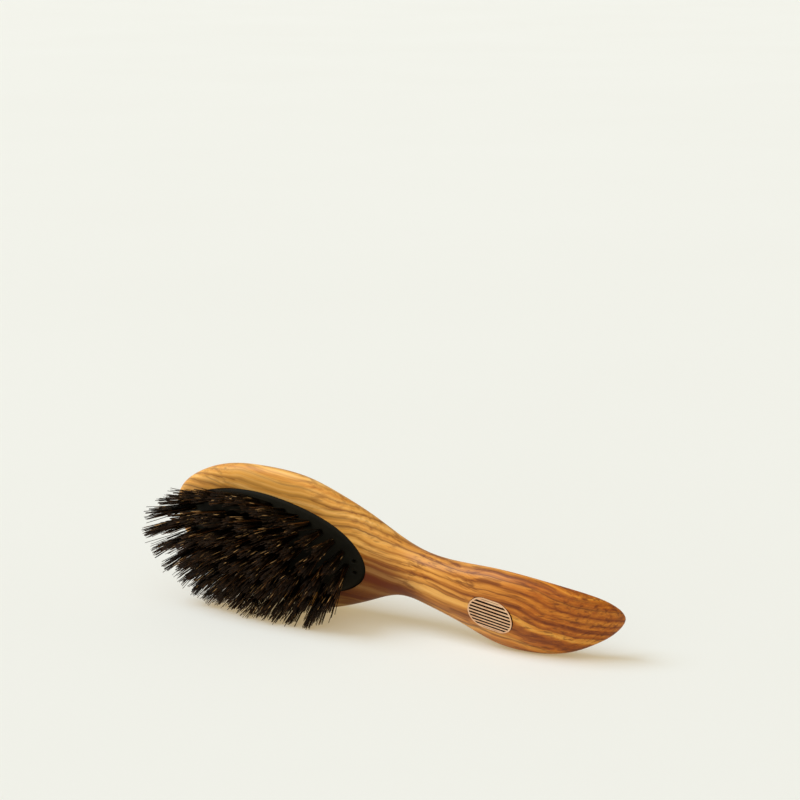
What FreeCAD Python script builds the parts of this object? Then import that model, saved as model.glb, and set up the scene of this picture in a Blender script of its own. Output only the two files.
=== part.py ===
"""Wooden hair brush with an air cushion, as a FreeCAD document of separate named pieces.

Each piece is built in the brush's own frame: x runs from the nose of the head to the end of the
handle, y goes across, and z points the way the bristles do, with z = 0 at the face of the head.
At the end every piece gets one common placement that lays the brush on its side on the floor.
"""
import FreeCAD, Part
import math
import os

Vector = FreeCAD.Vector

DIMENSIONS = [
    ("total_length", 220.0, "nose of the head to the end of the handle"),
    ("head_at", 62.0, "where the head is widest"),
    ("head_half", 35.4, "half of the head's width"),
    ("head_back", -17.0, "back of the head"),
    ("nose_front_run", 14.0, "how far the nose takes to reach the face"),
    ("nose_back_run", 40.0, "how far the nose takes to reach the back"),
    ("cheek_at", 77.0, "the head starts to narrow"),
    ("cheek_half", 33.5, "half width there"),
    ("cheek_back", -16.9, "back there"),
    ("shoulder_at", 90.5, "the head runs into the neck"),
    ("shoulder_half", 28.1, "half width there"),
    ("shoulder_back", -17.5, "back there"),
    ("throat_at", 104.0, "end of the flat face"),
    ("throat_half", 20.8, "half width there"),
    ("throat_front", 0.0, "front there"),
    ("throat_back", -18.6, "back there"),
    ("neck_half", 13.8, "half width of the neck"),
    ("neck_front", -0.4, "front there"),
    ("neck_back", -17.7, "back there"),
    ("waist_half", 12.4, "half width of the waist"),
    ("waist_front", 1.5, "front there"),
    ("waist_back", -15.0, "back there"),
    ("swell_half", 14.5, "half width where the handle widens again"),
    ("swell_front", 3.3, "front there"),
    ("swell_back", -12.6, "back there"),
    ("palm_half", 17.7, "half width at the start of the grip"),
    ("palm_front", 5.1, "front there"),
    ("palm_back", -10.8, "back there"),
    ("grip_half", 18.9, "half width of the grip"),
    ("grip_front", 5.2, "front there"),
    ("grip_back", -10.4, "back there"),
    ("tail_drop", 15.8, "how far the end of the handle curls to the back"),
    ("pad_at", 55.0, "middle of the cushion"),
    ("pad_half_length", 48.2, "half of the cushion's length"),
    ("pad_half_width", 24.2, "half of the cushion's width"),
    ("pad_rim_depth", 0.8, "rim of the cushion below the face"),
    ("pad_crown", 7.0, "height of the dome above its rim"),
    ("pad_thickness", 3.8, "rubber"),
    ("flange_reach", 1.4, "flange of the cushion under the wooden lip"),
    ("flange_thickness", 1.7, "flange of the cushion"),
    ("lip_depth", 1.8, "groove of the flange below the face"),
    ("ledge", 2.4, "ledge of the wood under the cushion"),
    ("chamber_depth", 9.0, "air chamber below the face"),
    ("seat_clearance", 0.1, "between the cushion or the badge and the wood"),
    ("vent_radius", 0.9, "vent hole"),
    ("vent_inset", 5.4, "vent hole from the end of the cushion"),
    ("vent_spacing", 6.0, "between the two vent holes"),
    ("field_nose_inset", 4.6, "outer ring of tufts from the cushion's edge, at the nose"),
    ("field_vent_inset", 8.8, "outer ring of tufts from the cushion's edge, at the vents"),
    ("field_side_inset", 4.0, "outer ring of tufts from the cushion's edge, at the sides"),
    ("ring_step_length", 8.7, "one ring to the next, lengthwise"),
    ("tuft_pitch", 6.7, "one tuft to the next along its ring"),
    ("upright_at", 72.0, "where the tufts stand upright, seen from the side"),
    ("tuft_root_radius", 1.45, "root of a tuft"),
    ("tuft_flare_radius", 2.8, "widest place of a tuft"),
    ("tuft_tip_radius", 2.0, "crown of a tuft"),
    ("tuft_length", 23.6, "bristles above the cushion"),
    ("tuft_crown", 2.0, "uneven tips of the bristles"),
    ("tuft_collar", 0.4, "straight part of a tuft above the cushion"),
    ("root_clearance", 0.06, "between a root and its socket"),
    ("socket_depth", 2.9, "socket of a tuft in the rubber"),
    ("anchor_height", 1.2, "flat anchor in the bottom of a socket"),
    ("anchor_width", 2.4, "flat anchor"),
    ("anchor_thickness", 0.4, "flat anchor"),
    ("badge_half_length", 10.9, "half of the badge's length"),
    ("badge_half_width", 7.9, "half of the badge's width"),
    ("badge_floor", 2.6, "floor of the badge's pocket above the face of the head"),
    ("badge_face", 5.3, "middle of the badge above the face of the head"),
    ("badge_curve", 36.0, "radius of the badge's face across the handle"),
]

HANDLE_SHARES = [
    ("neck_at", 0.12, "lowest point of the front, from the throat to the end of the handle"),
    ("waist_at", 0.24, "narrowest place"),
    ("swell_at", 0.38, "the handle widens again"),
    ("palm_at", 0.51, "start of the grip"),
    ("badge_at", 0.55, "middle of the badge"),
    ("grip_at", 0.64, "widest place of the grip"),
]

RING_COUNT = 4
CROWN_FACETS = 5
BADGE_SLOPE = 0.045
HEXAGON = 6
FACE_POWER = 4.5
HANDLE_POWER = 2.1
HEAD_BELT_SHARE = 0.35
HANDLE_BELT_SHARE = 0.5
LEAN_LENGTHWISE = 0.43
LEAN_ACROSS = 0.24
TAIL_POINT = 1.12
NOSE_ANGLES = (3, 9, 18, 30, 46, 66)
TAIL_ANGLES = (24, 43, 58, 71, 81, 87)
BACK_ANGLES = (20, 42, 66, 90)
FRONT_ANGLES = (66, 44, 22, 6)
LOFT_DEGREE = 3
PANEL_KNOTS = 3
SETTLE_ROUNDS = 12

doc = FreeCAD.newDocument("hair_brush")
dims = doc.addObject("Spreadsheet::Sheet", "dims")
rows = [(alias, str(value), note) for alias, value, note in DIMENSIONS]
for alias, share, note in HANDLE_SHARES:
    rows.append((alias, "=throat_at + %s * (total_length - throat_at)" % share, note))
for row, (alias, content, note) in enumerate(rows, start=1):
    dims.set("A%d" % row, alias)
    dims.set("B%d" % row, content)
    dims.set("C%d" % row, note)
    dims.setAlias("B%d" % row, alias)
doc.recompute()


def size(alias):
    """One driving dimension as a number."""
    return float(getattr(dims, alias))


def bound(kind, name, **expressions):
    """A document object whose properties follow the spreadsheet."""
    made = doc.addObject(kind, name)
    for prop, expression in expressions.items():
        made.setExpression(prop.replace("__", "."), expression)
    return made


def boolean(kind, name, base, tool):
    """A cut or a common part of two objects."""
    made = doc.addObject(kind, name)
    made.Base = base
    made.Tool = tool
    made.Refine = True
    return made


def joined(name, *shapes):
    """Several objects fused into one."""
    made = doc.addObject("Part::MultiFuse", name)
    made.Shapes = list(shapes)
    made.Refine = True
    return made


def oval_block(name, at, half_length, half_width, floor, height):
    """An upright block with an oval outline."""
    oval = bound("Part::Ellipse", name + "_outline", MajorRadius=half_length, MinorRadius=half_width,
                 Placement__Base__x=at, Placement__Base__z=floor)
    block = bound("Part::Extrusion", name, LengthFwd=height)
    block.Base = oval
    block.DirMode = "Custom"
    block.Dir = Vector(0, 0, 1)
    block.Solid = True
    return block


def slot_block(name, at, half_length, half_width, floor, height):
    """An upright block with straight sides and round ends."""
    reach = "(%s - (%s))" % (half_length, half_width)
    middle = bound("Part::Box", name + "_middle", Length="2 * " + reach, Width="2 * (%s)" % half_width,
                   Height=height, Placement__Base__x="%s - %s" % (at, reach),
                   Placement__Base__y="-(%s)" % half_width, Placement__Base__z=floor)
    near = bound("Part::Cylinder", name + "_near_end", Radius=half_width, Height=height,
                 Placement__Base__x="%s - %s" % (at, reach), Placement__Base__z=floor)
    far = bound("Part::Cylinder", name + "_far_end", Radius=half_width, Height=height,
                Placement__Base__x="%s + %s" % (at, reach), Placement__Base__z=floor)
    return joined(name, middle, near, far)


def blend(x):
    """0 on the head, 1 on the handle, with an even passage between them."""
    step = (x - size("head_at")) / (size("neck_at") - size("head_at"))
    step = min(max(step, 0), 1)
    return step * step * (3 - 2 * step)


def section_points(x, half_width, front, back):
    """One closed cross-section of the wood: a flattened front and an elliptical back."""
    mix = blend(x)
    power = FACE_POWER + (HANDLE_POWER - FACE_POWER) * mix
    share = HEAD_BELT_SHARE + (HANDLE_BELT_SHARE - HEAD_BELT_SHARE) * mix
    belt = front - share * (front - back)
    side = []
    for angle in BACK_ANGLES:
        turn = math.radians(angle)
        side.append(Vector(x, half_width * math.sin(turn), belt - (belt - back) * math.cos(turn)))
    for angle in FRONT_ANGLES:
        turn = math.radians(angle)
        across = half_width * math.sin(turn) ** (2 / power)
        side.append(Vector(x, across, belt + (front - belt) * math.cos(turn)))
    other = [Vector(p.x, -p.y, p.z) for p in reversed(side)]
    return [Vector(x, 0, back)] + side + [Vector(x, 0, front)] + other


def spacing(points):
    """Distances along a closed outline, which every cross-section shares as its parameters."""
    steps = [0]
    for here, there in zip(points, points[1:] + points[:1]):
        steps.append(steps[-1] + here.distanceToPoint(there))
    return steps


def quarter(x, run):
    """A quarter round from 0 at the start to 1 at the end of its run."""
    rest = 1 - min(x / run, 1)
    return math.sqrt(1 - rest * rest)


def wood_stations():
    """The cross-sections of the wood from nose to tail, each as place, half width, front and back."""
    stations = []
    belt = HEAD_BELT_SHARE * size("head_back")
    for angle in NOSE_ANGLES:
        x = size("head_at") * (1 - math.cos(math.radians(angle)))
        half = size("head_half") * math.sin(math.radians(angle))
        front = belt - belt * quarter(x, size("nose_front_run"))
        back = belt + (size("head_back") - belt) * quarter(x, size("nose_back_run"))
        stations.append((x, half, front, back))
    for place in ("head", "cheek", "shoulder", "throat", "neck", "waist", "swell", "palm", "grip"):
        flat = place in ("head", "cheek", "shoulder")
        front = 0 if flat else size(place + "_front")
        stations.append((size(place + "_at"), size(place + "_half"), front, size(place + "_back")))
    run = size("total_length") - size("grip_at")
    middle = (size("grip_front") + size("grip_back")) / 2
    depth = (size("grip_front") - size("grip_back")) / 2
    for angle in TAIL_ANGLES:
        along = math.sin(math.radians(angle))
        narrow = math.cos(math.radians(angle))
        centre = middle - size("tail_drop") * along ** 2
        stations.append((size("grip_at") + run * along, size("grip_half") * narrow ** TAIL_POINT,
                         centre + depth * narrow, centre - depth * narrow))
    return stations


def panels(skin):
    """The skin cut into panels at its knots: small faces take far fewer facets than one closed face."""
    surface = skin.Surface
    cuts = []
    for knots in (surface.getUKnots(), surface.getVKnots()):
        cuts.append(knots[:-1:PANEL_KNOTS] + knots[-1:])
    made = []
    for u_start, u_end in zip(cuts[0], cuts[0][1:]):
        for v_start, v_end in zip(cuts[1], cuts[1][1:]):
            panel = surface.copy()
            panel.segment(u_start, u_end, v_start, v_end)
            made.append(panel.toShape())
    return made


def make_wood_blank():
    """The wooden body as it leaves the shaping machine, without its recesses."""
    sections = []
    steps = spacing(section_points(size("head_at"), size("head_half"), 0, size("head_back")))
    for station in wood_stations():
        curve = Part.BSplineCurve()
        curve.interpolate(Points=section_points(*station), PeriodicFlag=True, Parameters=steps)
        sections.append(Part.Wire(curve.toShape()))
    loft = Part.makeLoft(sections, True, False, False, LOFT_DEGREE)
    skin = max(loft.Faces, key=lambda face: face.Area)
    caps = [face for face in loft.Faces if not face.isSame(skin)]
    shell = Part.makeShell(panels(skin) + caps)
    shell.sewShape()
    blank = doc.addObject("Part::Feature", "wood_blank")
    blank.Shape = Part.makeSolid(shell)
    return blank


def make_badge():
    """An inlaid plate with a face as curved as the handle's front, and the pocket that it lies in."""
    plate = slot_block("badge_block", "dims.badge_at", "dims.badge_half_length",
                       "dims.badge_half_width", "dims.badge_floor", "dims.grip_half")
    pocket = slot_block("badge_pocket", "dims.badge_at",
                        "dims.badge_half_length + dims.seat_clearance",
                        "dims.badge_half_width + dims.seat_clearance",
                        "dims.badge_floor", "dims.grip_half")
    along = Vector(1, 0, BADGE_SLOPE)
    along.normalize()
    top = Vector(size("badge_at"), 0, size("badge_face") - size("badge_curve"))
    face = bound("Part::Cylinder", "badge_curve_tool", Radius="dims.badge_curve",
                 Height="4 * dims.badge_half_length")
    face.Placement = FreeCAD.Placement(top - along * (2 * size("badge_half_length")),
                                       FreeCAD.Rotation(Vector(0, 0, 1), along))
    return boolean("Part::Common", "badge_plate", plate, face), pocket


def make_wood(blank, badge_pocket):
    """The blank with the mouth, the groove and the air chamber of the cushion, and the badge's pocket."""
    top = "dims.head_half"
    mouth = oval_block("mouth", "dims.pad_at", "dims.pad_half_length + dims.seat_clearance",
                       "dims.pad_half_width + dims.seat_clearance",
                       "-dims.lip_depth - dims.flange_thickness", top)
    groove = oval_block("groove", "dims.pad_at",
                        "dims.pad_half_length + dims.flange_reach + dims.seat_clearance",
                        "dims.pad_half_width + dims.flange_reach + dims.seat_clearance",
                        "-dims.lip_depth - dims.flange_thickness",
                        "dims.flange_thickness + dims.seat_clearance")
    chamber = oval_block("chamber", "dims.pad_at", "dims.pad_half_length - dims.ledge",
                         "dims.pad_half_width - dims.ledge", "-dims.chamber_depth", top)
    recesses = joined("recesses", mouth, groove, chamber, badge_pocket)
    return boolean("Part::Cut", "wood_body", blank, recesses)


def crown_radii():
    """The dome's two radii, lengthwise and across, from its outline and its height."""
    crown = size("pad_crown")
    lengthwise = (size("pad_half_length") ** 2 + crown ** 2) / (2 * crown)
    across = (size("pad_half_width") ** 2 + crown ** 2) / (2 * crown)
    return lengthwise, across


def crowned(name, block, inset):
    """A block under the dome: straight cylinders side by side, each a little more tilted."""
    lengthwise, across = crown_radii()
    centre = Vector(size("pad_at"), 0, size("pad_crown") - size("pad_rim_depth") - lengthwise)
    widest = math.asin(size("pad_half_length") / lengthwise)
    facets = []
    for index in range(CROWN_FACETS):
        tilt = widest * ((2 * index + 1) / CROWN_FACETS - 1)
        outward = Vector(math.sin(tilt), 0, math.cos(tilt))
        along = Vector(math.cos(tilt), 0, -math.sin(tilt))
        facet = bound("Part::Cylinder", "%s_facet_%d" % (name, index + 1),
                      Height="4 * dims.pad_half_length")
        facet.Radius = across - inset
        facet.Placement = FreeCAD.Placement(
            centre + outward * (lengthwise - across) - along * (2 * size("pad_half_length")),
            FreeCAD.Rotation(Vector(0, 0, 1), along))
        facets.append(facet)
    made = doc.addObject("Part::MultiCommon", name)
    made.Shapes = [block] + facets
    made.Refine = True
    return made


def make_cushion(socket_placements):
    """The domed rubber cushion with its flange, the sockets of its tufts and its two vents."""
    floor = "-dims.lip_depth - dims.flange_thickness"
    tall = "dims.head_half"
    outside = oval_block("dome_block", "dims.pad_at", "dims.pad_half_length", "dims.pad_half_width",
                         floor, tall)
    dome = crowned("dome", outside, 0)
    flange = oval_block("flange", "dims.pad_at", "dims.pad_half_length + dims.flange_reach",
                        "dims.pad_half_width + dims.flange_reach", floor, "dims.flange_thickness")
    inside = oval_block("hollow_block", "dims.pad_at", "dims.pad_half_length - dims.ledge",
                        "dims.pad_half_width - dims.ledge", floor, tall)
    hollow = crowned("hollow", inside, size("pad_thickness"))
    shell = boolean("Part::Cut", "cushion_shell", joined("dome_and_flange", dome, flange), hollow)
    vents = []
    for side, word in ((-1, "low"), (1, "high")):
        vents.append(bound("Part::Cylinder", "vent_" + word, Radius="dims.vent_radius",
                           Height="2 * dims.pad_crown",
                           Placement__Base__x="dims.pad_at + dims.pad_half_length - dims.vent_inset",
                           Placement__Base__y="%d * dims.vent_spacing / 2" % side,
                           Placement__Base__z="-dims.pad_crown"))
    socket = bound("Part::Prism", "socket_tool", Height="dims.socket_depth + dims.pad_crown",
                   Circumradius="dims.tuft_root_radius + dims.root_clearance",
                   Placement__Base__z="-dims.socket_depth")
    socket.Polygon = HEXAGON
    doc.recompute()
    holes = doc.addObject("Part::Feature", "sockets_and_vents")
    holes.Shape = Part.makeCompound([placed(socket.Shape, p) for p in socket_placements]
                                    + [vent.Shape for vent in vents])
    return boolean("Part::Cut", "cushion_pad", shell, holes)


def placed(shape, placement):
    """A copy of a shape at another place."""
    copy = shape.copy()
    copy.Placement = placement.multiply(copy.Placement)
    return copy


def dome_height(x, y):
    """Height of the outside of the dome above the face."""
    lengthwise, across = crown_radii()
    reach = lengthwise - across + math.sqrt(across ** 2 - y ** 2)
    arch = math.sqrt(reach ** 2 - (x - size("pad_at")) ** 2) - lengthwise
    return arch + size("pad_crown") - size("pad_rim_depth")


def tuft_field():
    """Middle, half length and half width of the outer ring, set in from the edge of the cushion."""
    start = size("pad_at") - size("pad_half_length") + size("field_nose_inset")
    end = size("pad_at") + size("pad_half_length") - size("field_vent_inset")
    return (start + end) / 2, (end - start) / 2, size("pad_half_width") - size("field_side_inset")


def tuft_rings():
    """The placements of the tufts, ring by ring from the outside in, evenly spaced along each ring."""
    field_at, field_half_length, field_half_width = tuft_field()
    centre = Vector(field_at, 0, 0)
    rings = []
    for index in range(RING_COUNT):
        half_length = field_half_length - index * size("ring_step_length")
        half_width = field_half_width * (1 - index / (RING_COUNT - 1))
        if half_width > size("tuft_root_radius"):
            path = Part.Ellipse(centre, half_length, half_width).toShape()
            count = round(path.Length / size("tuft_pitch"))
            spots = path.discretize(Number=count + 1)[:-1]
        else:
            path = Part.makeLine(centre - Vector(half_length, 0, 0), centre + Vector(half_length, 0, 0))
            spots = path.discretize(Number=round(path.Length / size("tuft_pitch")) + 1)
        ring = []
        for spot in spots:
            lean = Vector(LEAN_LENGTHWISE * (spot.x - size("upright_at")) / field_half_length,
                          LEAN_ACROSS * spot.y / field_half_width, 1)
            base = Vector(spot.x, spot.y, dome_height(spot.x, spot.y))
            ring.append(FreeCAD.Placement(base, FreeCAD.Rotation(Vector(0, 0, 1), lean)))
        rings.append(ring)
    return rings


def make_tuft():
    """One tuft of bristles with six flat sides: a root for its socket, a flare and a crowned tip."""
    outline = [
        (size("tuft_root_radius"), size("anchor_height") - size("socket_depth")),
        (size("tuft_root_radius"), size("tuft_collar")),
        (size("tuft_flare_radius"), size("tuft_length") - size("tuft_crown")),
        (size("tuft_tip_radius"), size("tuft_length")),
    ]
    levels = []
    for radius, height in outline:
        corners = [2 * math.pi * corner / HEXAGON for corner in range(HEXAGON)]
        levels.append([Vector(radius * math.cos(a), radius * math.sin(a), height) for a in corners])
    faces = [levels[0], levels[-1]]
    for low, high in zip(levels, levels[1:]):
        for corner in range(HEXAGON):
            other = (corner + 1) % HEXAGON
            faces.append([low[corner], low[other], high[other], high[corner]])
    sides = [Part.Face(Part.makePolygon(face + face[:1])) for face in faces]
    tuft = doc.addObject("Part::Feature", "tuft")
    tuft.Shape = Part.makeSolid(Part.makeShell(sides))
    return tuft


def make_anchor():
    """One anchor: the flat strip that a tuft is folded over, on edge in the bottom of the socket."""
    return bound("Part::Box", "anchor", Length="dims.anchor_width", Width="dims.anchor_thickness",
                 Height="dims.anchor_height", Placement__Base__x="-dims.anchor_width / 2",
                 Placement__Base__y="-dims.anchor_thickness / 2",
                 Placement__Base__z="-dims.socket_depth")


def group(name, shape, placements):
    """Separate copies of one shape as one node."""
    made = doc.addObject("Part::Feature", name)
    made.Shape = Part.makeCompound([placed(shape, p) for p in placements])
    return made


def resting_rotation(wood, outer_tufts):
    """The turn that sets the head's edge, the outer bristles and the handle on one level floor."""
    wood_points = wood.Shape.tessellate(size("seat_clearance"))[0]
    groups = [
        [p for p in wood_points if p.x < size("throat_at")],
        outer_tufts.Shape.tessellate(size("seat_clearance"))[0],
        [p for p in wood_points if p.x > size("waist_at")],
    ]
    up = Vector(0, 1, 0)
    for _ in range(SETTLE_ROUNDS):
        head, bristles, handle = [min(points, key=up.dot) for points in groups]
        up = (bristles - head).cross(handle - head)
        up.normalize()
        if up.y < 0:
            up = up * -1
    along = Vector(1, 0, 0) - up * up.x
    return FreeCAD.Rotation(along, up.cross(along), up, "ZXY").inverted()


blank = make_wood_blank()
badge_plate, badge_pocket = make_badge()
wood_body = make_wood(blank, badge_pocket)
rings = tuft_rings()
cushion_pad = make_cushion([placement for ring in rings for placement in ring])
tuft = make_tuft()
anchor = make_anchor()
doc.recompute()

nodes = [wood_body, cushion_pad, badge_plate]
tuft_nodes = []
for number, ring in enumerate(rings, start=1):
    tuft_nodes.append(group("bristle_tufts_ring_%d" % number, tuft.Shape, ring))
    nodes.append(tuft_nodes[-1])
    nodes.append(group("tuft_anchors_ring_%d" % number, anchor.Shape, ring))

turn = resting_rotation(wood_body, tuft_nodes[0])
box = FreeCAD.BoundBox()
for node in nodes:
    turned = node.Shape.copy()
    turned.Placement = FreeCAD.Placement(Vector(), turn).multiply(turned.Placement)
    box.add(turned.optimalBoundingBox(False, False))
lying = FreeCAD.Placement(Vector(-box.Center.x, -box.Center.y, -box.ZMin), turn)
for node in nodes:
    node.Placement = lying.multiply(node.Placement)
doc.recompute()

for thing in doc.Objects:
    if "Invalid" in thing.State or "Error" in thing.State:
        raise RuntimeError("%s failed: %s" % (thing.Name, thing.State))
os.makedirs("parts", exist_ok=True)
for node in nodes:
    node.Label = node.Name
    if node.Shape.isNull() or not node.Shape.isValid():
        raise RuntimeError("%s has no valid shape" % node.Label)
    node.Shape.exportStep("parts/%s.step" % node.Label)
    print(node.Label, len(node.Shape.Solids), "solids", round(node.Shape.Volume, 1), "mm3")
print("lying box", box.XLength, box.YLength, box.ZLength)
print("turn", lying)
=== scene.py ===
# %% [markdown]
# A wooden hair brush with an air cushion, dressed for its portrait.
#
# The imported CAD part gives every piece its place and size. This lesson loads it as a fixed frame and
# adds what CAD leaves plain: the streaks of olive wood, a smooth rubber dome, thousands of single
# bristles and a ridged metal inlay. Each step says what the real piece is before it makes it.

# %% load the frame
import math
import random

import bmesh
import bpy
from mathutils import Euler, Matrix, Vector


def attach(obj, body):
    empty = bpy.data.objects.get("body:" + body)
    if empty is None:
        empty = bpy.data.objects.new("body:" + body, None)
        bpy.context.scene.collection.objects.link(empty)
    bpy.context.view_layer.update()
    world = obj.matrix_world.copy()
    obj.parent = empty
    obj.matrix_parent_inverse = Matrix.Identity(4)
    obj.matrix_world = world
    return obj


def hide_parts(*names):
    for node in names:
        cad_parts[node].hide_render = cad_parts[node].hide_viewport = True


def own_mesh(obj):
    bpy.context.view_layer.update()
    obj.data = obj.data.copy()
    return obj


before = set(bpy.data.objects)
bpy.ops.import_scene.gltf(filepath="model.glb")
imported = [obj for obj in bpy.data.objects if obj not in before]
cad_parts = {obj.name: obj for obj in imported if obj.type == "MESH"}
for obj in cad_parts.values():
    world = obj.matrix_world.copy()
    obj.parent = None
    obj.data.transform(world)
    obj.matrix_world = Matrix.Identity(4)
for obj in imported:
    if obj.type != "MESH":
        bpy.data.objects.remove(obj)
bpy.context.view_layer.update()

# %% [markdown]
# The brush lies on its side, so nothing on it is parallel to the floor. It is far easier to think in
# the brush's own directions: x from the nose of the head to the end of the handle, y across, and z the
# way the bristles point, in millimetres. One turn and one shift take these to the floor's frame.
# They repeat what the CAD source prints for its lying placement.

# %% the brush's own directions
MM = 0.001
NOSE = Vector((-107.675, 5.38468, 40.319)) * MM
ROLL, PITCH = math.radians(107.474), math.radians(7.37716)
TURN = Euler((ROLL, PITCH, 0), "XYZ")
TO_FLOOR = Matrix.Translation(NOSE) @ TURN.to_matrix().to_4x4()
ALONG, ACROSS, OUT = [TURN.to_matrix().col[i].copy() for i in range(3)]


def lay_down(shape):
    """Takes a bmesh from brush millimetres to the floor's frame."""
    bmesh.ops.transform(shape, matrix=Matrix.Scale(MM, 4), verts=shape.verts)
    bmesh.ops.transform(shape, matrix=TO_FLOOR, verts=shape.verts)


print("handle points to", [round(c, 3) for c in ALONG], "bristles to", [round(c, 3) for c in OUT])

# %% [markdown]
# Materials are built from nodes. Writing each node out takes three or four lines, so small helpers keep
# the recipes readable: one starts a material, one adds a node and fills its sockets, and others make the
# few nodes that come again and again. Colours are written as a picture editor shows them.

# %% helpers for materials
MIX_FACTOR, MIX_A, MIX_B, MIX_RESULT = 0, 6, 7, 2


def srgb(red, green, blue):
    """A colour as a picture editor shows it, as the linear light that shaders use."""
    linear = []
    for channel in (red, green, blue):
        value = channel / 255
        linear.append(value / 12.92 if value <= 0.04045 else ((value + 0.055) / 1.055) ** 2.4)
    return (*linear, 1.0)


def start_material(name):
    """A new material with its tree and its main shader."""
    made = bpy.data.materials.new(name)
    made.use_nodes = True
    return made, made.node_tree, made.node_tree.nodes["Principled BSDF"]


def fill(tree, node, inputs):
    """Sets each named input of a node to a value, or links it to another node's socket."""
    for key, value in inputs.items():
        if isinstance(value, bpy.types.NodeSocket):
            tree.links.new(value, node.inputs[key])
        else:
            node.inputs[key].default_value = value


def add(tree, kind, inputs=None, **settings):
    """A new node with its settings and its inputs."""
    made = tree.nodes.new("ShaderNode" + kind)
    for key, value in settings.items():
        setattr(made, key, value)
    fill(tree, made, inputs or {})
    return made


def math_node(tree, operation, first, second=0.0):
    """One sum on two values."""
    return add(tree, "Math", {0: first, 1: second}, operation=operation).outputs["Value"]


def vector_node(tree, operation, first, second):
    """One sum on two vectors."""
    return add(tree, "VectorMath", {0: first, 1: second}, operation=operation).outputs["Vector"]


def mixed(tree, factor, under, over, blend="MIX"):
    """Two colours mixed by a mask."""
    made = add(tree, "Mix", data_type="RGBA", blend_type=blend)
    fill(tree, made, {MIX_FACTOR: factor, MIX_A: under, MIX_B: over})
    return made.outputs[MIX_RESULT]


def dress(piece, finish):
    """Puts one material on a piece, in place of any other."""
    piece.data.materials.clear()
    piece.data.materials.append(finish)


print("middle grey as linear light", round(srgb(128, 128, 128)[0], 3))

# %% [markdown]
# A mask says where a colour goes, from 0 for nowhere to 1 for all of it. Two nodes make most masks: a
# ramp with several stops, and a plain range with two ends.

# %% ramps and masks
def ramp(tree, factor, stops, interpolation="LINEAR"):
    """A colour ramp from (place, colour) stops."""
    made = add(tree, "ValToRGB", {"Fac": factor})
    made.color_ramp.interpolation = interpolation
    elements = made.color_ramp.elements
    while len(elements) < len(stops):
        elements.new(1.0)
    for element, (place, colour) in zip(elements, stops):
        element.position = place
        element.color = colour
    return made.outputs["Color"]


def mask(tree, factor, stops, interpolation="LINEAR"):
    """A grey ramp from (place, value) stops."""
    greys = [(place, (value, value, value, 1.0)) for place, value in stops]
    return ramp(tree, factor, greys, interpolation)


def ranged(tree, value, low, high, top=1.0):
    """A value that runs from 0 to the top between two ends, and stays there outside them."""
    made = add(tree, "MapRange", {"Value": value, "From Min": low, "From Max": high, "To Max": top})
    return made.outputs["Result"]


print("materials so far", len(bpy.data.materials))

# %% [markdown]
# Grain, ridges and moulding marks run along the brush, not along the floor. A Mapping node set to
# Texture undoes the lying placement: it turns Object coordinates back into brush millimetres. A pattern
# is then stretched by one factor for each direction, and a small factor makes it long.

# %% brush coordinates for patterns
def brush_millimetres(tree):
    """Object coordinates turned back to the brush's own directions, in millimetres."""
    place = add(tree, "TexCoord")
    back = add(tree, "Mapping", {"Vector": place.outputs["Object"], "Location": NOSE, "Rotation": TURN,
                                 "Scale": (MM, MM, MM)}, vector_type="TEXTURE")
    return back.outputs["Vector"]


def stretched(tree, vector, scale):
    """Coordinates multiplied by another factor in each direction."""
    return vector_node(tree, "MULTIPLY", vector, scale)


def noise(tree, vector, scale=1.0, detail=3.0, roughness=0.55):
    """Plain 3-D noise on given coordinates."""
    return add(tree, "TexNoise", {"Vector": vector, "Scale": scale, "Detail": detail,
                                  "Roughness": roughness})


def noise_value(tree, place, scale, **settings):
    """One number from noise on stretched coordinates."""
    return noise(tree, stretched(tree, place, scale), **settings).outputs["Fac"]


print("patterns start at the nose, at", [round(c, 4) for c in NOSE])

# %% [markdown]
# The body is one piece of olive wood: head, neck and S-curved handle. The CAD shape is right, but it
# comes as loose triangles with a facet here and there. A copy with its points merged can be shaded
# smooth, with only the edges of the recesses kept sharp, so the lacquer shows one flowing highlight.

# %% smooth copy of the wooden body
SHARP_TURN = math.radians(38)
WOOD_MERGE = 0.004 * MM


def finished(shape, name):
    """A bmesh turned into an object that sits at the origin."""
    mesh = bpy.data.meshes.new(name)
    shape.to_mesh(mesh)
    shape.free()
    piece = bpy.data.objects.new(name, mesh)
    bpy.context.scene.collection.objects.link(piece)
    return piece


def smooth_copy(node, name):
    """A CAD node's mesh with its points merged and its soft edges shaded smooth."""
    shape = bmesh.new()
    shape.from_mesh(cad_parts[node].data)
    bmesh.ops.remove_doubles(shape, verts=shape.verts, dist=WOOD_MERGE)
    for face in shape.faces:
        face.smooth = True
    for edge in shape.edges:
        edge.smooth = not (edge.is_manifold and edge.calc_face_angle(0) > SHARP_TURN)
    return finished(shape, name)


wood = smooth_copy("wood_body", "olive_wood_body")
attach(wood, "handle_and_head")
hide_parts("wood_body")
print("wood", len(wood.data.polygons), "faces")

# %% [markdown]
# Olive wood is honey-coloured with dark brown lines that wander along the grain, crowd together and
# part again. An even wave texture looks like a zebra. Here the growth rings are sheets around a heart
# beside the brush, and the distance to that heart counts the years. Slow noise bends the sheets, and
# quicker noise makes them tremble. A random number for each year makes some lines strong and others
# faint. Each line is sharp on one side and fades on the other, as the late wood of a tree does.

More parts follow.
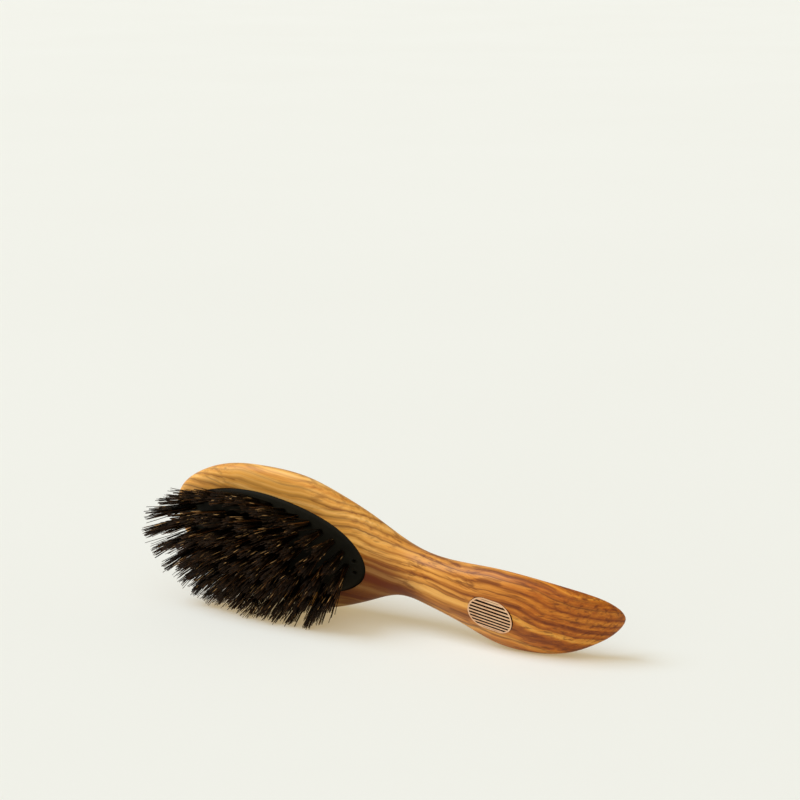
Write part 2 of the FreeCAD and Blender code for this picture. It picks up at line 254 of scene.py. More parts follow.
# %% growth lines
HEART = (0.0, 46.0, -40.0)
YEARS_PER_MM = 0.33
FRAY = 0.30
LATE_WOOD = [(0.0, 0.85), (0.08, 0.5), (0.24, 0.2), (0.5, 0.0), (0.74, 0.2), (0.93, 0.9)]
SLOW_WAVE, SLOW_PUSH = (0.017, 0.014, 0.014), (0.0, 15.0, 12.0)
QUICK_WAVE, QUICK_PUSH = (0.05, 0.05, 0.05), (0.0, 2.0, 2.0)
NOISE_MIDDLE = (0.5, 0.5, 0.5)
SIDEWAYS = (0.0, 1.0, 1.0)


def sway(tree, place, wave, push, roughness):
    """A sideways push that noise changes from place to place."""
    cloud = noise(tree, stretched(tree, place, wave), detail=2.0, roughness=roughness)
    swing = vector_node(tree, "SUBTRACT", cloud.outputs["Color"], NOISE_MIDDLE)
    return stretched(tree, swing, push)


def bent_place(tree, place):
    """Brush coordinates pushed sideways by noise, so that straight grain wanders."""
    slow = sway(tree, place, SLOW_WAVE, SLOW_PUSH, roughness=0.5)
    quick = sway(tree, place, QUICK_WAVE, QUICK_PUSH, roughness=0.6)
    return vector_node(tree, "ADD", place, vector_node(tree, "ADD", slow, quick))


def heart_distance(tree, bent):
    """How far a place lies from the heart of the tree, in millimetres."""
    flat = stretched(tree, bent, SIDEWAYS)
    return add(tree, "VectorMath", {0: flat, 1: HEART}, operation="DISTANCE").outputs["Value"]


def year_lines(tree, heart, fibre):
    """A mask of growth lines, and one random number for each year."""
    frayed = math_node(tree, "MULTIPLY", math_node(tree, "SUBTRACT", fibre, 0.5), FRAY)
    years = math_node(tree, "ADD", math_node(tree, "MULTIPLY", heart, YEARS_PER_MM), frayed)
    line = mask(tree, math_node(tree, "FRACT", years), LATE_WOOD)
    luck = add(tree, "TexWhiteNoise", {"W": math_node(tree, "FLOOR", years)}, noise_dimensions="1D")
    return line, luck.outputs["Value"]


print("a year of growth is about", round(1 / YEARS_PER_MM, 1), "mm wide")

# %% [markdown]
# Under the lines lies the ground colour of the wood: bands of paler and deeper years, honey on the head
# and browner on the handle. A dark tongue beside the cushion, low on the neck, is partly heartwood and
# partly painted shade, where the underside of the neck turns away from the light. Fine dark veins run
# along the grain, most of them on the handle. Noise that counts in years, not in millimetres, keeps the
# bands parallel to the growth lines.

# %% ground colour of the wood
HANDLE_FROM, HANDLE_TO = 100.0, 190.0
HEAD_HONEY = [(0.32, srgb(184, 115, 38)), (0.5, srgb(221, 162, 76)), (0.68, srgb(238, 190, 112))]
HANDLE_BROWN = [(0.32, srgb(116, 54, 8)), (0.46, srgb(168, 90, 18)), (0.58, srgb(202, 126, 38)),
                (0.72, srgb(222, 160, 66))]
BAND_SCALE, BAND_SHARE, FIBRE_SHARE = 0.22, 0.7, 0.3
# The tongue is partly heartwood and partly painted shade on the underside of the neck.
TONGUE_AT, TONGUE_SPREAD, HEARTWOOD_AND_SHADE = (104.0, -11.0, 0.0), (0.026, 0.040, 0.0), srgb(100, 38, 4)
VEIN_GRAIN, VEIN_BROWN = (0.010, 0.60, 0.60), srgb(92, 38, 5)


def heartwood_and_shade_tongue(tree, place, bands):
    """A mask of the dark tongue beside the cushion, part heartwood and part painted shade, long in x and
    narrow in y.
    """
    away = stretched(tree, vector_node(tree, "SUBTRACT", place, TONGUE_AT), TONGUE_SPREAD)
    far = add(tree, "VectorMath", {0: away}, operation="LENGTH").outputs["Value"]
    tongue = mask(tree, far, [(0.45, 1.0), (1.0, 0.0)], "EASE")
    return math_node(tree, "MULTIPLY", tongue, mask(tree, bands, [(0.35, 1.0), (0.65, 0.75)]))


def dark_veins(tree, bent, handle):
    """A mask of fine dark veins, stronger on the handle."""
    veins = noise_value(tree, bent, VEIN_GRAIN, detail=4.0, roughness=0.6)
    streak = mask(tree, veins, [(0.50, 0.0), (0.64, 0.8)])
    return math_node(tree, "MULTIPLY", streak, mask(tree, handle, [(0.0, 0.45), (0.3, 0.9)]))


def ground_colour(tree, place, bent, heart, fibre):
    """The colour of the wood between its growth lines, with painted shade in the tongue beside the
    cushion.
    """
    along = add(tree, "SeparateXYZ", {"Vector": place}).outputs["X"]
    handle = ranged(tree, along, HANDLE_FROM, HANDLE_TO)
    bands = add(tree, "TexNoise", {"W": heart, "Scale": BAND_SCALE, "Detail": 3.0, "Roughness": 0.6},
                noise_dimensions="1D").outputs["Fac"]
    shade = math_node(tree, "ADD", math_node(tree, "MULTIPLY", bands, BAND_SHARE),
                      math_node(tree, "MULTIPLY", fibre, FIBRE_SHARE))
    body = mixed(tree, handle, ramp(tree, shade, HEAD_HONEY), ramp(tree, shade, HANDLE_BROWN))
    # Heartwood and painted shade in the dark tongue beside the cushion.
    body = mixed(tree, heartwood_and_shade_tongue(tree, place, bands), body, HEARTWOOD_AND_SHADE)
    return mixed(tree, dark_veins(tree, bent, handle), body, VEIN_BROWN)


print("honey stops", len(HEAD_HONEY), "brown stops", len(HANDLE_BROWN))

# %% [markdown]
# The finished wood lays the growth lines and short dashes of open pores over that ground. The lines fade
# in patches, so that some places are calm. A satin lacquer covers it all: a low coat, and a gloss that
# the fibres break up a little.

# %% olive wood
FIBRE_GRAIN, PORE_GRAIN = (0.012, 0.8, 0.8), (0.06, 2.4, 2.4)
CALM_PATCH, CALM_STOPS = (0.020, 0.05, 0.05), [(0.30, 0.4275), (0.56, 0.95)]
FAINTEST_YEAR, YEAR_SPREAD = 0.2, 0.8
LINE_BROWN, PORE_BROWN = srgb(96, 42, 8), srgb(104, 58, 24)


def line_strength(tree, place, luck):
    """How strong a growth line is: by its year, and less in calm patches."""
    force = math_node(tree, "ADD", FAINTEST_YEAR, math_node(tree, "MULTIPLY", luck, YEAR_SPREAD))
    patch = noise_value(tree, place, CALM_PATCH, detail=1.5)
    return math_node(tree, "MULTIPLY", force, mask(tree, patch, CALM_STOPS))


def olive_wood():
    """Streaked olive wood under a satin lacquer."""
    made, tree, shader = start_material("olive_wood")
    place = brush_millimetres(tree)
    bent = bent_place(tree, place)
    heart = heart_distance(tree, bent)
    fibre = noise_value(tree, bent, FIBRE_GRAIN)
    line, luck = year_lines(tree, heart, fibre)
    drawn = math_node(tree, "MULTIPLY", line, line_strength(tree, place, luck))
    lined = mixed(tree, drawn, ground_colour(tree, place, bent, heart, fibre), LINE_BROWN)
    pores = noise_value(tree, place, PORE_GRAIN, detail=1.0)
    dashes = mask(tree, pores, [(0.62, 0.0), (0.76, 0.16)])
    raised = add(tree, "Bump", {"Height": fibre, "Strength": 0.05, "Distance": 0.0002})
    fill(tree, shader, {"Base Color": mixed(tree, dashes, lined, PORE_BROWN),
                        "Roughness": mask(tree, fibre, [(0.3, 0.40), (0.7, 0.50)]),
                        "Normal": raised.outputs["Normal"], "Specular IOR Level": 0.2,
                        "Coat Weight": 0.06, "Coat Roughness": 0.3})
    return made


dress(wood, olive_wood())
print("wood material", wood.data.materials[0].name)

# %% [markdown]
# The cushion is a dome of black rubber that closes an air chamber. It bulges out of the oval mouth of
# the head, and its rim slips under the wooden lip. A spin can't make an oval dome, so the first loop is
# a circle scaled to the oval, and each further loop is extruded, scaled and lifted, as one would model
# a hat. The CAD dome is nearly the same height on every such loop. The underside hangs deep in the
# chamber, so that the anchors stay inside the rubber when the dome is pressed flat.

# %% loops of the dome
PAD_MIDDLE = 55.0
PAD_HALF_LENGTH, PAD_HALF_WIDTH = 48.2, 24.2
OVAL_SEGMENTS = 128


def oval_loop(shape, half_length, half_width, height):
    """An oval ring of edges in brush millimetres, not yet laid on the floor."""
    made = bmesh.ops.create_circle(shape, segments=OVAL_SEGMENTS, radius=1.0)["verts"]
    bmesh.ops.scale(shape, vec=(half_length, half_width, 1), verts=made)
    bmesh.ops.translate(shape, vec=(PAD_MIDDLE, 0, height), verts=made)
    return set(made)


def new_verts(result):
    """The points among what an extrusion made."""
    return [g for g in result["geom"] if isinstance(g, bmesh.types.BMVert)]


def grow(shape, loop, lengthwise, across, rise):
    """Extrudes a loop of points, scales it about the middle of the pad and lifts it."""
    edges = [e for e in shape.edges if e.verts[0] in loop and e.verts[1] in loop]
    verts = new_verts(bmesh.ops.extrude_edge_only(shape, edges=edges))
    middle = Matrix.Translation((-PAD_MIDDLE, 0, 0))
    bmesh.ops.scale(shape, vec=(lengthwise, across, 1), space=middle, verts=verts)
    bmesh.ops.translate(shape, vec=(0, 0, rise), verts=verts)
    return set(verts)


print("cushion", 2 * PAD_HALF_LENGTH, "by", 2 * PAD_HALF_WIDTH, "mm")

# %% [markdown]
# From below, the loops are the deep underside, the step out to the rim, the wall of the rim and then the
# dome, whose height follows a parabola. A fan of triangles closes the crown, and one face the underside.

# %% rubber dome
PAD_RIM, PAD_CROWN = -0.8, 7.0
DOME_LOOPS = 14
RIM_WALL, UNDERSIDE_DROP, UNDERSIDE_INSET = 1.6, 6.2, 2.7
FOUR_SIDED = 4


def rubber_dome():
    """The dome, the rim that dips below the face of the head and the hidden underside."""
    shape = bmesh.new()
    under_length = PAD_HALF_LENGTH - UNDERSIDE_INSET
    under_width = PAD_HALF_WIDTH - UNDERSIDE_INSET
    loop = oval_loop(shape, under_length, under_width, PAD_RIM - RIM_WALL - UNDERSIDE_DROP)
    loop = grow(shape, loop, 1.0, 1.0, UNDERSIDE_DROP)
    loop = grow(shape, loop, PAD_HALF_LENGTH / under_length, PAD_HALF_WIDTH / under_width, 0.0)
    loop = grow(shape, loop, 1.0, 1.0, RIM_WALL)
    share, height = 1.0, 0.0
    for step in range(1, DOME_LOOPS):
        next_share = 1.0 - step / DOME_LOOPS
        next_height = PAD_CROWN * (1.0 - next_share ** 2)
        loop = grow(shape, loop, next_share / share, next_share / share, next_height - height)
        share, height = next_share, next_height
    ends = [e for e in shape.edges if e.is_boundary and e.verts[0] in loop]
    crown = bmesh.ops.edgenet_fill(shape, edges=ends)["faces"]
    bmesh.ops.poke(shape, faces=crown)
    bmesh.ops.edgenet_fill(shape, edges=[e for e in shape.edges if e.is_boundary])
    bmesh.ops.recalc_face_normals(shape, faces=shape.faces)
    for face in shape.faces:
        face.smooth = len(face.verts) <= FOUR_SIDED
    lay_down(shape)
    return finished(shape, "rubber_cushion")


cushion = rubber_dome()
print("cushion", len(cushion.data.polygons), "faces")

# %% [markdown]
# Air leaves the chamber through two small holes near the handle end of the dome. They are bored with
# two slim cylinders and a Boolean modifier, which is then applied, because the dome has to be one
# finished mesh before it learns to flatten.

# %% vent holes
VENT_RADIUS, VENT_INSET, VENT_SPACING = 0.9, 5.4, 6.0
VENT_HEIGHT, VENT_DEPTH, VENT_SEGMENTS = 1.6, 5.0, 24


def bored(piece, centres):
    """The piece with vent holes along the bristle direction."""
    shape = bmesh.new()
    for centre in centres:
        bmesh.ops.create_cone(shape, cap_ends=True, segments=VENT_SEGMENTS, radius1=VENT_RADIUS * MM,
                              radius2=VENT_RADIUS * MM, depth=VENT_DEPTH * MM,
                              matrix=TO_FLOOR @ Matrix.Translation(Vector(centre) * MM))
    tool = finished(shape, "vent_borer")
    cut = piece.modifiers.new("vents", "BOOLEAN")
    cut.object = tool
    cut.operation = "DIFFERENCE"
    bpy.context.view_layer.update()
    evaluated = piece.evaluated_get(bpy.context.evaluated_depsgraph_get())
    result = bpy.data.meshes.new_from_object(evaluated)
    piece.modifiers.clear()
    piece.data = result
    bpy.data.objects.remove(tool)


vent_x = PAD_MIDDLE + PAD_HALF_LENGTH - VENT_INSET
bored(cushion, [(vent_x, side * VENT_SPACING / 2, VENT_HEIGHT) for side in (-1, 1)])
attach(cushion, "handle_and_head")
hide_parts("cushion_pad")
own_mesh(cushion)
print("cushion with vents", len(cushion.data.polygons), "faces")

# %% [markdown]
# Natural rubber is never quite black: it is a warm, very dark grey with a bloom that makes some places
# duller than others. Noise moves the colour and the roughness a little, and a fine bump gives the skin
# its moulded tooth.

# %% black rubber
BLOOM_SCALE, TOOTH_SCALE = (0.08, 0.08, 0.08), (2.2, 2.2, 2.2)
RUBBER_BLACK = [(0.35, srgb(15, 14, 9)), (0.7, srgb(25, 23, 15))]


def black_rubber():
    """Matt black rubber with a faint bloom."""
    made, tree, shader = start_material("cushion_rubber")
    place = brush_millimetres(tree)
    bloom = noise_value(tree, place, BLOOM_SCALE, detail=4.0)
    tooth = noise_value(tree, place, TOOTH_SCALE, detail=2.0)
    skin = add(tree, "Bump", {"Height": tooth, "Strength": 0.12, "Distance": 0.0002})
    fill(tree, shader, {"Base Color": ramp(tree, bloom, RUBBER_BLACK),
                        "Roughness": mask(tree, bloom, [(0.3, 0.5), (0.7, 0.66)]),
                        "Normal": skin.outputs["Normal"], "Specular IOR Level": 0.06})
    return made


dress(cushion, black_rubber())
print("cushion material", cushion.data.materials[0].name)

# %% [markdown]
# The bristles stand in tufts, each folded over an anchor in the rubber and fanned out at its tip. The
# CAD part has one six-sided solid for each tuft. Its twelve lowest and twelve highest corners lie
# around the tuft's axis, so their middles give where the tuft stands and which way it leans.

# %% where the tufts stand
COLLAR_BELOW = 0.65
TUFT_MERGE = 0.002 * MM
LOW_CORNERS = 12


def islands(mesh):
    """The separate solids of a mesh, each as a list of its corners, in order of their middles."""
    shape = bmesh.new()
    shape.from_mesh(mesh)
    bmesh.ops.remove_doubles(shape, verts=shape.verts, dist=TUFT_MERGE)
    seen = set()
    found = []
    for start in shape.verts:
        if start in seen:
            continue
        seen.add(start)
        group = [start]
        for vert in group:
            near = [edge.other_vert(vert) for edge in vert.link_edges]
            fresh = [other for other in near if other not in seen]
            seen.update(fresh)
            group.extend(fresh)
        found.append([v.co.copy() for v in group])
    shape.free()
    return sorted(found, key=lambda points: tuple(middle_of(points)))


def middle_of(points):
    """The middle of some points."""
    return sum(points, Vector()) / len(points)


def tuft_axes(node):
    """Foot and direction of every tuft of a ring."""
    axes = []
    for points in islands(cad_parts[node].data):
        points.sort(key=OUT.dot)
        low, high = middle_of(points[:LOW_CORNERS]), middle_of(points[LOW_CORNERS:])
        lean = (high - low).normalized()
        axes.append((low + lean * COLLAR_BELOW * MM, lean))
    return axes


RINGS = {ring: tuft_axes("bristle_tufts_ring_%d" % ring) for ring in (1, 2, 3, 4)}
print("tufts per ring", {ring: len(axes) for ring, axes in RINGS.items()})

# %% [markdown]
# A single bristle is a thin three-sided cone, cut across a few times so that it can bend. In use the
# bristles of a tuft cling together, so a tuft is made of a few strands, and each bristle follows one of
# them with a little stray of its own. This cell rolls the dice for one strand and for one bristle.

# %% course of a bristle
BRISTLE_LENGTH = 24.2
SHORTEST, LONGEST, USUAL = 0.70, 1.05, 0.98
ROOT_RADIUS, FAN_RADIUS = 1.25, 4.2
ROOT_FAN, STRAY, CURL = 0.03, 0.022, 0.008
THINNEST, THICKEST = 0.16, 0.27


def on_disc(dice, radius):
    """A random place on a disc around the tuft's axis."""
    around = dice.uniform(0, 2 * math.pi)
    return Vector((math.cos(around), math.sin(around), 0)) * math.sqrt(dice.random()) * radius


def strand_fan(dice):
    """How far one strand of a tuft leans sideways for each millimetre of height."""
    return on_disc(dice, (FAN_RADIUS - ROOT_RADIUS) / BRISTLE_LENGTH)


def sideways(dice, spread):
    """A small random lean."""
    return Vector((dice.gauss(0, spread), dice.gauss(0, spread), 0))


def bristle_course(dice, strand):
    """Root, length, lean, curl and thickness of one bristle of a strand."""
    root = on_disc(dice, ROOT_RADIUS)
    length = BRISTLE_LENGTH * dice.triangular(SHORTEST, LONGEST, USUAL)
    fan = strand + root * ROOT_FAN + sideways(dice, STRAY)
    curl = sideways(dice, CURL)
    return root, length, fan, curl, dice.uniform(THINNEST, THICKEST)


print("bristles are", round(BRISTLE_LENGTH * SHORTEST, 1), "to", round(BRISTLE_LENGTH * LONGEST, 1), "mm")

# %% [markdown]
# A few kinds of tuft are modelled once and copied, because nobody sees that two tufts of a full brush
# are alike. Each bristle starts as an upright cone of height one, and its points are then moved along its
# course. Two attributes go along: tone, which is one number for each bristle, and along, which runs from
# root to tip. The material reads both.

# %% tufts to copy
TUFT_KINDS, FIRST_SEED = 8, 700
STRANDS, BRISTLES = 11, 50
SIDES, CUTS, TIP_SHARE = 3, 3, 0.7
ROOT_DEPTH = 0.8


def add_bristle(shape, dice, strand, tone_layer, along_layer):
    """One bristle of a tuft that stands on the origin and points up, in millimetres."""
    root, length, fan, curl, thick = bristle_course(dice, strand)
    known_verts, known_edges = len(shape.verts), len(shape.edges)
    bmesh.ops.create_cone(shape, cap_ends=True, segments=SIDES, radius1=thick,
                          radius2=thick * TIP_SHARE, depth=1.0, matrix=Matrix.Translation((0, 0, 0.5)))
    shape.edges.ensure_lookup_table()
    tall = [e for e in shape.edges[known_edges:] if abs(e.verts[0].co.z - e.verts[1].co.z) > 0.5]
    bmesh.ops.subdivide_edges(shape, edges=tall, cuts=CUTS)
    shape.verts.ensure_lookup_table()
    tone = dice.random()
    for vert in shape.verts[known_verts:]:
        share = vert.co.z
        vert[tone_layer] = tone
        vert[along_layer] = share
        side = fan * share * length + curl * share * share * length
        height = Vector((0, 0, share * length - ROOT_DEPTH))
        vert.co = Vector((vert.co.x, vert.co.y, 0)) + root + side + height


def tuft_mesh(kind):
    """One tuft, as a mesh to copy."""
    dice = random.Random(FIRST_SEED + kind)
    shape = bmesh.new()
    tone_layer = shape.verts.layers.float.new("tone")
    along_layer = shape.verts.layers.float.new("along")
    strands = [strand_fan(dice) for _ in range(STRANDS)]
    for _ in range(BRISTLES):
        add_bristle(shape, dice, dice.choice(strands), tone_layer, along_layer)
    mesh = bpy.data.meshes.new("tuft_kind_%d" % kind)
    shape.to_mesh(mesh)
    shape.free()
    return mesh


tuft_kinds = [tuft_mesh(kind) for kind in range(TUFT_KINDS)]
print("bristles in a tuft", BRISTLES, "faces", len(tuft_kinds[0].polygons))

# %% [markdown]
# Each ring of tufts sinks by its own amount when the cushion is pressed, so each ring is one piece on
# its own body. Every tuft takes one of the kinds, spun by a seeded roll of the dice. Tufts near the sides
# splay out over the rim, but the floor holds in those that lie on it. Single bristles that would still
# reach through the floor lie down on it, as they do under the weight of the head.

# %% rings of bristles
RING_SEED = 40
FLOOR_GAP = 0.15 * MM
TIP_ROOM = 1.0 * MM
FREE_SPLAY, SPLAY_SHARES = 0.40, (1.0, 0.75, 0.5, 0.25)
LOWEST_TUFT, HIGHEST_TUFT = 0.95, 1.04
UP = Vector((0, 0, 1))


def splayed(foot, lean):
    """The lean of a tuft with as much sideways splay as the floor leaves it."""
    side = (TO_FLOOR.inverted() @ foot).y / (PAD_HALF_WIDTH * MM)
    for share in SPLAY_SHARES:
        turned = (lean + ACROSS * FREE_SPLAY * side * share).normalized()
        if (foot + turned * BRISTLE_LENGTH * MM).z > TIP_ROOM:
            return turned
    return lean


def ring_of_bristles(ring):
    """All bristles of one ring, laid on the floor."""
    dice = random.Random(RING_SEED + ring)
    shape = bmesh.new()
    for foot, lean in RINGS[ring]:
        known = len(shape.verts)
        shape.from_mesh(dice.choice(tuft_kinds))
        shape.verts.ensure_lookup_table()
        upright = UP.rotation_difference(splayed(foot, lean)).to_matrix().to_4x4()
        spin = Matrix.Rotation(dice.uniform(0, 2 * math.pi), 4, "Z")
        tall = Matrix.Scale(dice.uniform(LOWEST_TUFT, HIGHEST_TUFT), 4, UP)
        put = Matrix.Translation(foot) @ upright @ spin @ tall @ Matrix.Scale(MM, 4)
        bmesh.ops.transform(shape, matrix=put, verts=shape.verts[known:])
    for vert in shape.verts:
        vert.co.z = max(vert.co.z, FLOOR_GAP)
    for face in shape.faces:
        face.smooth = True
    piece = finished(shape, "bristles_ring_%d" % ring)
    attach(piece, "tuft_ring_%d" % ring)
    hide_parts("bristle_tufts_ring_%d" % ring)
    return piece


bristle_rings = [ring_of_bristles(ring) for ring in RINGS]
print("bristle faces", [len(piece.data.polygons) for piece in bristle_rings])

# %% [markdown]
# Boar bristle is nearly black in the mass, but single bristles are brown or amber, and where one catches
# the light it glints for a millimetre or two. The tone attribute picks the colour. The glints are painted
# highlights: noise along each bristle, with the tone as its second direction, places short amber dashes
# in the base colour.

# %% dark bristle
HAIR_TONES = [(0.0, srgb(5, 4, 2)), (0.72, srgb(11, 7, 3)), (0.9, srgb(46, 27, 12)),
              (1.0, srgb(100, 64, 30))]
# The amber is a painted highlight colour for the glints.
TIP_BROWN, PAINTED_GLINT_AMBER = srgb(84, 60, 40), srgb(240, 192, 128)
TONE_STEP, PAINTED_GLINTS_ALONG = 97.0, 2.0


def dark_bristle():
    """Dark bristle with some brown ones among the black, and short amber glints painted in as highlights.
    """
    made, tree, shader = start_material("bristle")
    tone = add(tree, "Attribute", attribute_name="tone").outputs["Fac"]
    along = add(tree, "Attribute", attribute_name="along").outputs["Fac"]
    tips = mask(tree, along, [(0.75, 0.0), (1.0, 0.2)])
    hair = mixed(tree, tips, ramp(tree, tone, HAIR_TONES), TIP_BROWN)
    spot = add(tree, "CombineXYZ", {"X": math_node(tree, "MULTIPLY", tone, TONE_STEP),
                                    "Y": math_node(tree, "MULTIPLY", along, PAINTED_GLINTS_ALONG)})
    chance = noise(tree, spot.outputs["Vector"], detail=1.0).outputs["Fac"]
    # Painted highlight: short amber glints mixed into the base colour.
    painted_glint = mask(tree, chance, [(0.67, 0.0), (0.73, 0.9)])
    fill(tree, shader, {"Base Color": mixed(tree, painted_glint, hair, PAINTED_GLINT_AMBER),
                        "Roughness": mask(tree, tone, [(0.0, 0.28), (1.0, 0.42)]),
                        "Specular IOR Level": 0.06})
    return made


bristle_finish = dark_bristle()
for piece in bristle_rings:
    dress(piece, bristle_finish)
print("bristle material on", len(bristle_rings), "rings")

# %% [markdown]
# The metal pieces are the inlay on the handle and the anchors in the cushion. Every metal of the brush
# dulls in places and has fine scratches along it. That wear is one node group, and each metal puts in
# its own colours and gloss, so a change to the wear reaches all of them.

# %% worn metal
TARNISH_SCALE, SCRATCH_SCALE = (0.25, 0.25, 0.25), (0.6, 9.0, 9.0)
WEAR_LOW, WEAR_HIGH, SCRATCH_DULLS = 0.3, 0.7, 0.12


def metal_wear():
    """A node group of what worn metal shows: a duller tone in places and fine scratches along it."""
    group = bpy.data.node_groups.new("metal_wear", "ShaderNodeTree")
    for name, kind in (("Place", "Vector"), ("Light", "Color"), ("Dark", "Color"), ("Rough", "Float")):
        group.interface.new_socket(name, in_out="INPUT", socket_type="NodeSocket" + kind)
    for name, kind in (("Colour", "Color"), ("Roughness", "Float")):
        group.interface.new_socket(name, in_out="OUTPUT", socket_type="NodeSocket" + kind)
    given = group.nodes.new("NodeGroupInput").outputs
    tarnish = noise_value(group, given["Place"], TARNISH_SCALE)
    bright = ranged(group, tarnish, WEAR_LOW, WEAR_HIGH)
    scratch = noise_value(group, given["Place"], SCRATCH_SCALE, detail=2.0)
    dull = ranged(group, scratch, WEAR_LOW, WEAR_HIGH, top=SCRATCH_DULLS)
    result = group.nodes.new("NodeGroupOutput")
    fill(group, result, {"Colour": mixed(group, bright, given["Dark"], given["Light"]),
                         "Roughness": math_node(group, "ADD", given["Rough"], dull)})
    return group


METAL_WEAR = metal_wear()


def worn_metal(name, light, dark, rough):
    """A metal of its own colour and gloss with the shared wear."""
    made, tree, shader = start_material(name)
    worn = add(tree, "Group", {"Place": brush_millimetres(tree), "Light": light, "Dark": dark,
                               "Rough": rough}, node_tree=METAL_WEAR)
    fill(tree, shader, {"Base Color": worn.outputs["Colour"], "Roughness": worn.outputs["Roughness"],
                        "Metallic": 1.0})
    return made


print("wear group with", len(METAL_WEAR.nodes), "nodes")

# %% [markdown]
# The inlay on the handle is a small plate of rose-coloured metal with straight sides and round ends. The
# CAD plate stays as its dark sunk floor. Its face is a little curved across the handle, so what is laid
# on it has to follow the same curve.

# %% metal floor of the inlay
BADGE_MIDDLE, BADGE_FACE, BADGE_CURVE, BADGE_SLOPE = 167.8, 5.3, 36.0, 0.045
BADGE_HALF_LENGTH, BADGE_HALF_WIDTH = 10.9, 7.9


def plate_height(x, y):
    """Height of the plate's curved face at a place of the handle."""
    curve = math.sqrt(BADGE_CURVE ** 2 - y ** 2) - BADGE_CURVE
    return BADGE_FACE + curve + BADGE_SLOPE * (x - BADGE_MIDDLE)


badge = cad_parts["badge_plate"]
dress(badge, worn_metal("inlay_floor", light=srgb(44, 27, 16), dark=srgb(26, 15, 9), rough=0.55))

# %% [markdown]
# The raised border is a strip between two outlines, lifted off the plate: a circle whose two halves are
# pulled apart gives an outline with straight sides. The ridges inside it are straight bars, each as long
# as the outline allows at its place.

# %% raised border and ridges
BORDER, BORDER_GAP = 0.7, 0.05
RIDGE_RISE, RIDGE_PITCH, RIDGE_HALF, RIDGE_OVERLAP = 0.22, 1.65, 0.36, 0.2
OUTLINE_SEGMENTS = 72


def slot_outline(shape, half_width, reach):
    """A closed outline with straight sides and round ends."""
    half_step = Matrix.Rotation(math.pi / OUTLINE_SEGMENTS, 4, "Z")
    points = bmesh.ops.create_circle(shape, segments=OUTLINE_SEGMENTS, radius=half_width,
                                     matrix=half_step)["verts"]
    for side in (-1, 1):
        half = [v for v in points if v.co.x * side > 0]
        bmesh.ops.translate(shape, vec=(side * reach, 0, 0), verts=half)
    return set(points)


def raised_border(shape, reach):
    """A ring along the edge of the plate: two outlines bridged, then lifted."""
    outer = slot_outline(shape, BADGE_HALF_WIDTH - BORDER_GAP, reach)
    inner = slot_outline(shape, BADGE_HALF_WIDTH - BORDER, reach)
    outlines = outer | inner
    edges = [e for e in shape.edges if e.verts[0] in outlines]
    ring = bmesh.ops.bridge_loops(shape, edges=edges)["faces"]
    tops = new_verts(bmesh.ops.extrude_face_region(shape, geom=ring))
    bmesh.ops.translate(shape, vec=(0, 0, RIDGE_RISE), verts=tops)


def raised_ridges(shape, reach):
    """Straight bars side by side, each ending at the border."""
    inside = BADGE_HALF_WIDTH - BORDER
    count = int(inside / RIDGE_PITCH)
    for step in range(-count, count + 1):
        across = step * RIDGE_PITCH
        half = reach + math.sqrt(inside ** 2 - across ** 2) + RIDGE_OVERLAP
        bar = bmesh.ops.create_cube(shape, size=1.0)["verts"]
        bmesh.ops.scale(shape, vec=(2 * half, 2 * RIDGE_HALF, RIDGE_RISE), verts=bar)
        bmesh.ops.translate(shape, vec=(0, across, RIDGE_RISE / 2), verts=bar)


print("ridges", 2 * int((BADGE_HALF_WIDTH - BORDER) / RIDGE_PITCH) + 1)

# %% [markdown]
# Border and ridges start flat. At the end every point is lifted by the height of the plate below it and
# sunk in a little, so that the relief follows the curve and no gap shows under it.

# %% relief on the inlay
RELIEF_SINK = 0.05


def inlay_relief():
    """Border and ridges as one thin piece on the plate."""
    shape = bmesh.new()
    reach = BADGE_HALF_LENGTH - BADGE_HALF_WIDTH
    raised_border(shape, reach)
    raised_ridges(shape, reach)
    bmesh.ops.translate(shape, vec=(BADGE_MIDDLE, 0, 0), verts=shape.verts)
    for vert in shape.verts:
        vert.co.z += plate_height(vert.co.x, vert.co.y) - RELIEF_SINK
    bmesh.ops.recalc_face_normals(shape, faces=shape.faces)
    lay_down(shape)
    return finished(shape, "inlay_relief")


relief = inlay_relief()
dress(relief, worn_metal("rose_metal", light=srgb(240, 200, 162), dark=srgb(222, 172, 132), rough=0.28))
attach(relief, "handle_and_head")
print("inlay relief", len(relief.data.polygons), "faces")

# %% [markdown]
# The anchors sit out of sight in the bottoms of the sockets. They stay as the CAD made them and get a
# plain grey metal, so that a cut through the cushion would still look right.

# %% anchors
anchor_finish = worn_metal("anchor_metal", light=srgb(190, 190, 186), dark=srgb(150, 150, 148), rough=0.3)
for ring in RINGS:
    dress(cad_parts["tuft_anchors_ring_%d" % ring], anchor_finish)
print("anchor material on", len(RINGS), "rings")

# %% [markdown]
# The portrait stands on a seamless pale floor that runs far back. A large pale studio throws so much
# light back that shadows stay light and warm. The lamps alone can't give that without flattening the
# brush, so a share of the floor's colour, most of it red, is shown to the camera unshaded and lights
# nothing else.

# %% floor
CREAM, FLAT_CREAM = srgb(242, 241, 230), srgb(233, 233, 225)
PAPER = [(0.3, srgb(232, 236, 235)), (0.7, srgb(234, 238, 237))]
UNSHADED = (0.45, 0.33, 0.18)
FLOOR_REACH = 40.0


def seen_by_camera(tree):
    """One for what the camera sees, straight or in metal and glass, and zero for light on the brush."""
    rays = add(tree, "LightPath").outputs
    through = math_node(tree, "MAXIMUM", rays["Is Glossy Ray"], rays["Is Transmission Ray"])
    return math_node(tree, "MAXIMUM", rays["Is Camera Ray"], through)


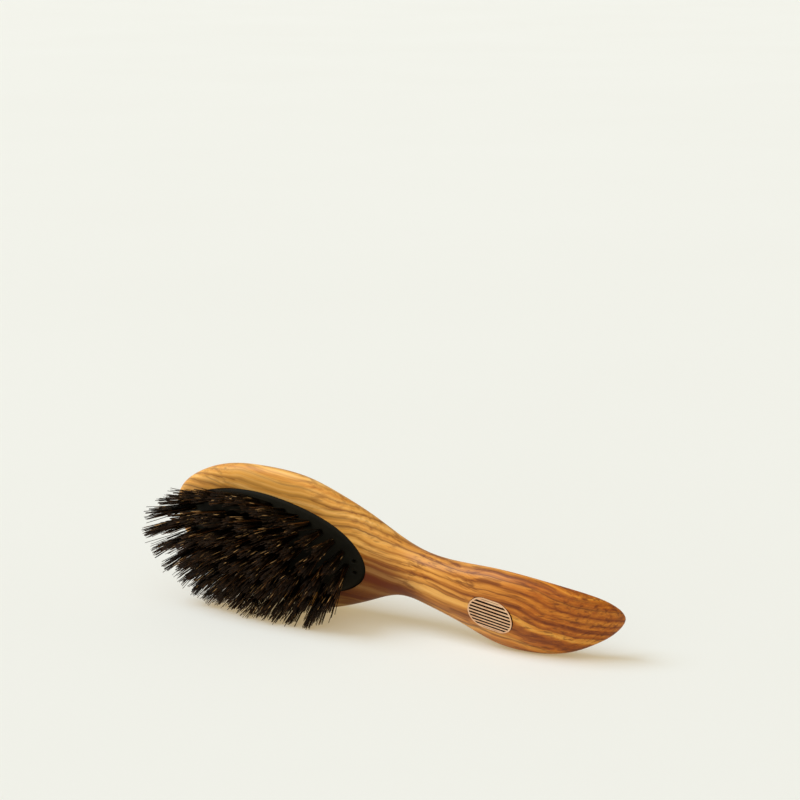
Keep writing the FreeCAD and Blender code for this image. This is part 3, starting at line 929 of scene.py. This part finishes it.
def pale_floor():
    """Cream paper with hardly visible clouds, whose shadows stay light and warm."""
    made, tree, shader = start_material("cream_floor")
    place = add(tree, "TexCoord").outputs["Object"]
    paper = ramp(tree, noise(tree, place, scale=2.0, detail=2.0).outputs["Fac"], PAPER)
    shaded = mixed(tree, 1.0, paper, (*[1 - share for share in UNSHADED], 1.0), "MULTIPLY")
    seen = seen_by_camera(tree)
    glow = [share * part for share, part in zip(UNSHADED, FLAT_CREAM)]
    fill(tree, shader, {"Base Color": mixed(tree, seen, paper, shaded), "Roughness": 0.85,
                        "Emission Color": (*glow, 1.0), "Emission Strength": seen})
    made.cycles.emission_sampling = "NONE"
    return made


shape = bmesh.new()
bmesh.ops.create_grid(shape, x_segments=2, y_segments=2, size=FLOOR_REACH)
floor = finished(shape, "floor")
dress(floor, pale_floor())
print("floor", 2 * FLOOR_REACH, "m wide")

# %% [markdown]
# The light is one large soft lamp from the upper left, a little cool, with a warm fill from the front
# and a faint warm sky. Suns with a wide disc are as soft as large lamps and light the whole floor evenly.
# The world shows the camera the floor's cream instead of the sky, so that no horizon is seen.

# %% light
SKY_COLOUR, SKY_STRENGTH = (1.0, 0.80, 0.50, 1.0), 0.24


def soft_sun(name, comes_from, angle, strength, colour):
    """A sun with a wide disc: as soft as a large lamp, and even all over the floor."""
    data = bpy.data.lights.new(name, "SUN")
    data.angle = math.radians(angle)
    data.energy = strength
    data.color = colour
    lamp = bpy.data.objects.new(name, data)
    lamp.rotation_euler = (-Vector(comes_from)).to_track_quat("-Z", "Y").to_euler()
    bpy.context.scene.collection.objects.link(lamp)


def studio_world():
    """A warm sky for the brush and plain cream for the camera."""
    world = bpy.data.worlds.new("studio")
    world.use_nodes = True
    tree = world.node_tree
    sky = tree.nodes["Background"]
    fill(tree, sky, {"Color": SKY_COLOUR, "Strength": SKY_STRENGTH})
    cream = add(tree, "Background", {"Color": CREAM, "Strength": 1.0})
    both = add(tree, "MixShader", {0: seen_by_camera(tree), 1: sky.outputs[0], 2: cream.outputs[0]})
    fill(tree, tree.nodes["World Output"], {"Surface": both.outputs[0]})
    return world


soft_sun("key", comes_from=(-0.80, -0.50, 1.10), angle=40, strength=2.42, colour=(0.90, 0.95, 1.0))
soft_sun("fill", comes_from=(0.25, -1.0, 0.85), angle=90, strength=1.5, colour=(1.0, 0.91, 0.78))
bpy.context.scene.world = studio_world()

# %% [markdown]
# The camera is a long lens a metre away, a little above the brush and to the right of it, as measured
# from the outline of the wood in the picture.

# %% camera
LENS, SENSOR = 99.0, 36.0
CAMERA_AT = (0.4603, -0.7958, 0.3086)
CAMERA_LOOKS = Vector((-0.47659, 0.85206, -0.21644))

lens = bpy.data.cameras.new("portrait")
lens.lens = LENS
lens.sensor_width = SENSOR
camera = bpy.data.objects.new("portrait", lens)
camera.location = CAMERA_AT
camera.rotation_euler = CAMERA_LOOKS.to_track_quat("-Z", "Y").to_euler()
bpy.context.scene.collection.objects.link(camera)
bpy.context.scene.camera = camera
bpy.context.scene.view_settings.view_transform = "Standard"
print("camera at", [round(c, 3) for c in camera.location])
